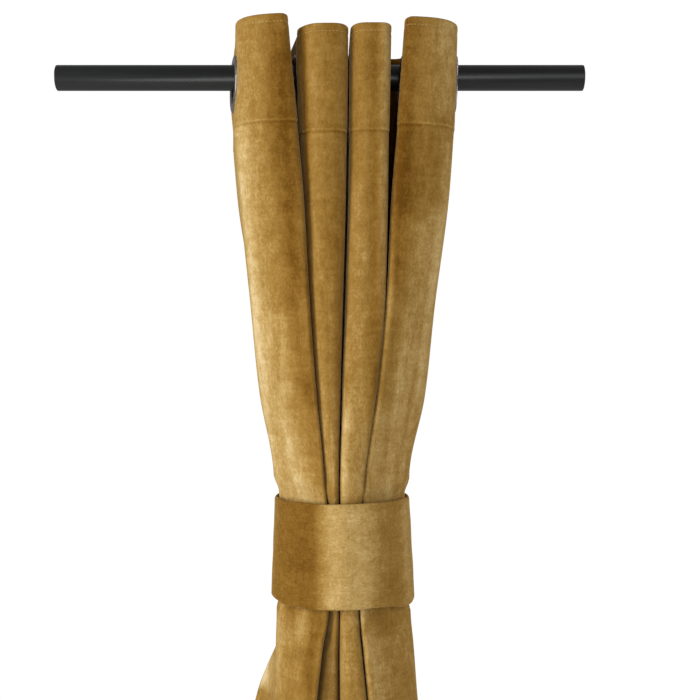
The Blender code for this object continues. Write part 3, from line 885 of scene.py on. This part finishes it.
def set_eyelets(material):
    """Eight rings in the heading, each with its own mesh in its place."""
    pattern = turn_ring(material)
    rings = []
    for number, place in enumerate(eyelet_frames(), 1):
        ring = pattern.copy()
        ring.data = pattern.data.copy()
        ring.name = f"eyelet_ring_{number}"
        ring.data.name = ring.name
        ring.data.transform(place)
        bpy.context.scene.collection.objects.link(ring)
        rings.append(ring)
    bpy.data.objects.remove(pattern, do_unlink=True)
    return rings


def punch_holes(heading):
    """Cuts a hole through the heading behind each eyelet."""
    cutters = []
    for place in eyelet_frames():
        cutter = new_shape(
            bpy.ops.mesh.primitive_cylinder_add,
            "punch", vertices=48, radius=EYELET_HOLE, depth=3 * HEADING_THICK,
        )
        cutter.data.transform(place)
        cutters.append(cutter)
    bpy.ops.object.select_all(action="DESELECT")
    for cutter in cutters:
        cutter.select_set(True)
    bpy.context.view_layer.objects.active = cutters[0]
    bpy.ops.object.join()
    bpy.ops.object.select_all(action="DESELECT")
    bpy.context.view_layer.objects.active = heading
    heading.select_set(True)
    hole = heading.modifiers.new("holes", "BOOLEAN")
    hole.operation = "DIFFERENCE"
    hole.object = cutters[0]
    hole.solver = "EXACT"
    bpy.ops.object.modifier_apply(modifier=hole.name)
    bpy.data.objects.remove(cutters[0], do_unlink=True)
    bpy.ops.object.shade_smooth_by_angle(angle=math.radians(50))


def twist_stitch():
    """One stitch of thread: a short soft bar, sunk at both ends, lying along X."""
    stitch = new_shape(
        bpy.ops.mesh.primitive_cylinder_add,
        "stitch", vertices=6, radius=STITCH_THICK / 2, depth=STITCH_LONG, rotation=(0, math.pi / 2, 0),
    )
    bpy.ops.object.transform_apply(location=False, rotation=True, scale=False)
    for side in (1, -1):
        edit_all()
        bpy.ops.mesh.bisect(plane_co=(side * STITCH_STRAIGHT / 2, 0, 0), plane_no=(1, 0, 0))
    pick(stitch, "VERT", lambda vert: abs(vert.co.x) > 1.4 * MM)
    bpy.ops.transform.translate(value=(0, 0, -STITCH_SINK))
    bpy.ops.transform.resize(value=(1, 0.5, 0.5), center_override=(0, 0, -STITCH_SINK))
    bpy.ops.object.mode_set(mode="OBJECT")
    bpy.ops.object.shade_smooth()
    return stitch


def value_at(place, far, values):
    """The value at a distance along a line whose points lie that far along it."""
    return np.array([np.interp(place, far, values[:, i]) for i in range(3)])


def sew_line(name, stitch, lines, material):
    """Lays a copy of the stitch every pitch along each line of (point, out) pairs, as one mesh."""
    shape = np.array([vert.co for vert in stitch.data.vertices])
    faces = [list(face.vertices) for face in stitch.data.polygons]
    points, polygons = [], []
    for path, outward in lines:
        far = flat_widths(path)
        for place in np.arange(STITCH_PITCH / 2, far[-1], STITCH_PITCH):
            here, out = value_at(place, far, path), value_at(place, far, outward)
            along = value_at(place + 0.4 * MM, far, path) - value_at(place - 0.4 * MM, far, path)
            along = along / np.linalg.norm(along)
            out = out - along * out.dot(along)
            out = out / np.linalg.norm(out)
            side = np.cross(out, along)
            start = sum(len(part) for part in points)
            points.append(here + shape @ np.array([along, side, out]))
            polygons += [[start + corner for corner in face] for face in faces]
    mesh = bpy.data.meshes.new(name)
    mesh.from_pydata(np.concatenate(points).tolist(), [], polygons)
    mesh.shade_smooth()
    return add_piece(name, mesh, material)


def both_sides(grid, normal, thick, row):
    """A row of the cloth as two lines, one on each face, with the way out at each point."""
    half = (thick[row] / 2 - 0.05 * MM)[:, None]
    return [
        (grid[row] + normal[row] * half, normal[row]),
        (grid[row] - normal[row] * half, -normal[row]),
    ]


# Finishes


def add_node(tree, kind, **settings):
    """A new node with its settings."""
    node = tree.nodes.new(kind)
    for key, value in settings.items():
        setattr(node, key, value)
    return node


def noise_field(tree, source, stretch, detail, roughness=0.5):
    """A noise pattern; stretch is how many spots go in a metre along each axis."""
    mapping = add_node(tree, "ShaderNodeMapping")
    mapping.inputs["Scale"].default_value = stretch
    field = add_node(tree, "ShaderNodeTexNoise")
    field.inputs["Scale"].default_value = 1
    field.inputs["Detail"].default_value = detail
    field.inputs["Roughness"].default_value = roughness
    tree.links.new(source, mapping.inputs["Vector"])
    tree.links.new(mapping.outputs["Vector"], field.inputs["Vector"])
    return field.outputs["Fac"]


def weigh(tree, value, low, high, least, most):
    """Maps a value from low..high to least..most."""
    node = add_node(tree, "ShaderNodeMapRange", clamp=True)
    node.inputs["From Min"].default_value = low
    node.inputs["From Max"].default_value = high
    node.inputs["To Min"].default_value = least
    node.inputs["To Max"].default_value = most
    tree.links.new(value, node.inputs["Value"])
    return node.outputs["Result"]


def add_values(tree, *values):
    """The sum of several values."""
    total = values[0]
    for value in values[1:]:
        node = add_node(tree, "ShaderNodeMath", operation="ADD")
        tree.links.new(total, node.inputs[0])
        tree.links.new(value, node.inputs[1])
        total = node.outputs[0]
    return total


def new_finish(name):
    """A material with its node tree and its shader."""
    material = bpy.data.materials.new(name)
    material.use_nodes = True
    return material, material.node_tree, material.node_tree.nodes["Principled BSDF"]


def colour_by(tree, shader, value, tones):
    """Colours the shader by a value, through tones of (place, colour) from dark to light."""
    ramp = add_node(tree, "ShaderNodeValToRGB")
    ends = ramp.color_ramp.elements
    for end, (place, colour) in zip((ends[0], ends[1]), (tones[0], tones[-1])):
        end.position, end.color = place, (*colour, 1)
    for place, colour in tones[1:-1]:
        ends.new(place).color = (*colour, 1)
    tree.links.new(value, ramp.inputs["Fac"])
    tree.links.new(ramp.outputs["Color"], shader.inputs["Base Color"])


def roughen(tree, shader, height, strength, deep):
    """A bump in the shader's surface."""
    bump = add_node(tree, "ShaderNodeBump")
    bump.inputs["Strength"].default_value = strength
    bump.inputs["Distance"].default_value = deep
    tree.links.new(height, bump.inputs["Height"])
    tree.links.new(bump.outputs["Normal"], shader.inputs["Normal"])


# The velvet's colours from dark to light; the pale top stands in for sheen where the strokes paint light
VELVET_TONES = (
    (0.0, (0.12, 0.050, 0.005)), (0.25, (0.208, 0.104, 0.017)), (0.5, (0.30, 0.168, 0.038)),
    (0.75, (0.45, 0.297, 0.104)), (1.0, (0.65, 0.495, 0.26)),
)
THREAD_TONES = ((0.0, (0.34, 0.22, 0.06)), (1.0, (0.46, 0.32, 0.11)))
NICKEL_TONES = ((0.3, (0.2, 0.172, 0.158)), (0.7, (0.34, 0.295, 0.27)))
BLACK_TONES = ((0.3, (0.003, 0.0036, 0.0034)), (0.7, (0.007, 0.008, 0.0076)))


def velvet_finish(name, turned=False, patchy=0.09):
    """Cut pile with a soft sheen and grain streaks, coloured by brushed pile and painted light and shade.
    """
    material, tree, shader = new_finish(name)
    flat = add_node(tree, "ShaderNodeUVMap", uv_map="cloth").outputs["UV"]
    # This attribute holds the brushed pile together with painted shade between folds and painted light and
    # shade on the folds
    pile = add_node(tree, "ShaderNodeAttribute", attribute_name="pile").outputs["Fac"]

    def streaks(across, down, detail, roughness, strength):
        """Broad light and dark on the flat cloth."""
        stretch = (down, across, 1) if turned else (across, down, 1)
        field = noise_field(tree, flat, stretch, detail, roughness)
        return weigh(tree, field, 0.3, 0.7, -strength, strength)

    broad = streaks(30, 7, 3, 0.5, patchy)
    patch = streaks(75, 55, 5, 0.66, patchy)
    place = add_node(tree, "ShaderNodeTexCoord").outputs["Object"]

    def fine(across, down, detail, roughness, strength):
        """Small light and dark in the pile as it hangs."""
        stretch = (down, down, across) if turned else (across, across, down)
        field = noise_field(tree, place, stretch, detail, roughness)
        return weigh(tree, field, 0.3, 0.7, -strength, strength)

    blotch = fine(190, 75, 4, 0.7, 0.08)
    crease = fine(50, 240, 4, 0.62, 0.05)
    speck = fine(560, 400, 3, 0.65, 0.1)
    centre = add_node(tree, "ShaderNodeValue")
    centre.outputs[0].default_value = 0.5
    tone = add_values(tree, centre.outputs[0], pile, broad, patch, blotch, crease, speck)
    colour_by(tree, shader, tone, VELVET_TONES)
    shader.inputs["Roughness"].default_value = 0.9
    shader.inputs["Specular IOR Level"].default_value = 0.03
    shader.inputs["Sheen Weight"].default_value = 0.42
    shader.inputs["Sheen Roughness"].default_value = 0.28
    shader.inputs["Sheen Tint"].default_value = (1.0, 0.74, 0.36, 1)
    height = add_values(tree, weigh(tree, blotch, -0.08, 0.08, 0, 1), weigh(tree, speck, -0.1, 0.1, 0, 0.6))
    roughen(tree, shader, height, 0.35, 0.4 * MM)
    return material


def thread_finish():
    """Sewing thread of the velvet's own colour."""
    material, tree, shader = new_finish("mustard_thread")
    place = add_node(tree, "ShaderNodeTexCoord").outputs["Object"]
    colour_by(tree, shader, noise_field(tree, place, (900, 900, 1), 2), THREAD_TONES)
    shader.inputs["Roughness"].default_value = 0.55
    return material


def metal_finish(name, tones, metallic, rough, grain, deep):
    """A smooth metal or paint with faint lengthwise grain and slight wear in its gloss."""
    material, tree, shader = new_finish(name)
    place = add_node(tree, "ShaderNodeTexCoord").outputs["Object"]
    field = noise_field(tree, place, grain, 4)
    colour_by(tree, shader, field, tones)
    shader.inputs["Metallic"].default_value = metallic
    tree.links.new(weigh(tree, field, 0.3, 0.7, *rough), shader.inputs["Roughness"])
    roughen(tree, shader, field, 0.25, deep)
    return material, shader


# Setting: plain soft light, white behind, a pale floor, and the photo's own view

AMBIENT = 0.315
WHITE = 1.02
CURTAIN_MIDDLE = (0.02, 0, -0.3)
FLOOR_Z = -1.562
CAMERA_PLACE = (0.030, -1.150, -0.272)
CAMERA_TARGET = (0.030, 0, -0.272)
CAMERA_REACH = 1150 / 700
SENSOR = 36


def aim(item, place, target, roll=0):
    """Sets a lamp or camera at a place, looking at a target, rolled by some degrees."""
    item.location = place
    item.rotation_euler = (Vector(target) - Vector(place)).to_track_quat("-Z", "Y").to_euler()
    item.rotation_euler.rotate_axis("Z", math.radians(roll))
    bpy.context.scene.collection.objects.link(item)


def soft_lamp(name, place, target, size, watts, roll=0):
    """A soft box: size is its width and height in metres."""
    lamp = bpy.data.lights.new(name, "AREA")
    lamp.shape = "RECTANGLE"
    lamp.size, lamp.size_y = size
    lamp.energy = watts
    aim(bpy.data.objects.new(name, lamp), place, target, roll)


def light_scene():
    """White surroundings, brighter to the camera than to the cloth, and four soft lamps."""
    scene = bpy.context.scene
    scene.view_settings.view_transform = "Standard"
    world = bpy.data.worlds.new("white studio")
    world.use_nodes = True
    scene.world = world
    tree = world.node_tree
    sky = tree.nodes["Background"]
    sky.inputs["Color"].default_value = (1, 1, 1, 1)
    seen = add_node(tree, "ShaderNodeLightPath").outputs["Is Camera Ray"]
    tree.links.new(weigh(tree, seen, 0, 1, AMBIENT, WHITE), sky.inputs["Strength"])
    soft_lamp("key", (-1.75, -0.95, 0.1), CURTAIN_MIDDLE, (0.8, 1.6), 34)
    soft_lamp("fill", (1.2, -1.9, 0.2), CURTAIN_MIDDLE, (1.2, 1.2), 6)
    soft_lamp("rod light", (-0.075, -1.5, -0.52), (0, 0, 0), (1.6, 0.4), 10.5, roll=40)
    soft_lamp("rim", (1.5, 0.7, 0.1), CURTAIN_MIDDLE, (0.7, 1.6), 12)


def lay_floor():
    """A plain pale floor just under the hem."""
    floor = new_shape(
        bpy.ops.mesh.primitive_circle_add,
        "floor", vertices=96, radius=2.4, fill_type="NGON", location=(0, 0, FLOOR_Z),
    )
    material, _, shader = new_finish("pale_floor")
    shader.inputs["Base Color"].default_value = (0.86, 0.86, 0.85, 1)
    shader.inputs["Roughness"].default_value = 0.8
    floor.data.materials.append(material)


def set_camera():
    """The photo's view, straight on and as far off as the photo's perspective says."""
    camera = bpy.data.cameras.new("camera")
    camera.sensor_width = SENSOR
    camera.lens = SENSOR * CAMERA_REACH
    item = bpy.data.objects.new("camera", camera)
    aim(item, CAMERA_PLACE, CAMERA_TARGET)
    bpy.context.scene.camera = item


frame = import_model()
set_camera()
light_scene()
lay_floor()

velvet = velvet_finish("mustard_velvet")
tie_velvet = velvet_finish("tie_velvet", turned=True, patchy=0.05)
thread = thread_finish()
nickel, _ = metal_finish("satin_nickel", NICKEL_TONES, 1.0, (0.3, 0.42), (40, 40, 900), 0.02 * MM)
black, paint = metal_finish("black_rod_paint", BLACK_TONES, 0.0, (0.3, 0.34), (14, 300, 300), 0.003 * MM)
paint.inputs["Specular IOR Level"].default_value = 0.42

heading, heading_shape = sew_heading(velvet)
punch_holes(heading)
panel, panel_shape = sew_panel(velvet)
tie = sew_tie(tie_velvet)
brush_pile_and_paint_light(heading, STROKES)
brush_pile_and_paint_light(panel, STROKES)
brush_pile_and_paint_light(tie, TIE_STROKES)
rings = set_eyelets(nickel)

stitch = twist_stitch()
top_row = int(np.argmin(abs(heading_levels() - TOP_STITCH)))
top_stitches = sew_line("top_stitches", stitch, both_sides(*heading_shape, top_row), thread)
hem_row = int(np.argmin(abs(panel_levels() - (HEM_TOP_Z - HEM_STITCH))))
hem_stitches = sew_line("hem_stitches", stitch, both_sides(*panel_shape, hem_row), thread)
bpy.data.objects.remove(stitch, do_unlink=True)

rod = turn_rod(black)
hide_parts("rod")
for piece, node in ((heading, "heading"), (panel, "panel"), (tie, "tie_band")):
    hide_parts(node)
for ring in rings:
    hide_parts("eyelet_" + ring.name[-1])
for piece in (heading, panel, tie, top_stitches, hem_stitches, rod, *rings):
    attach(piece, "root")
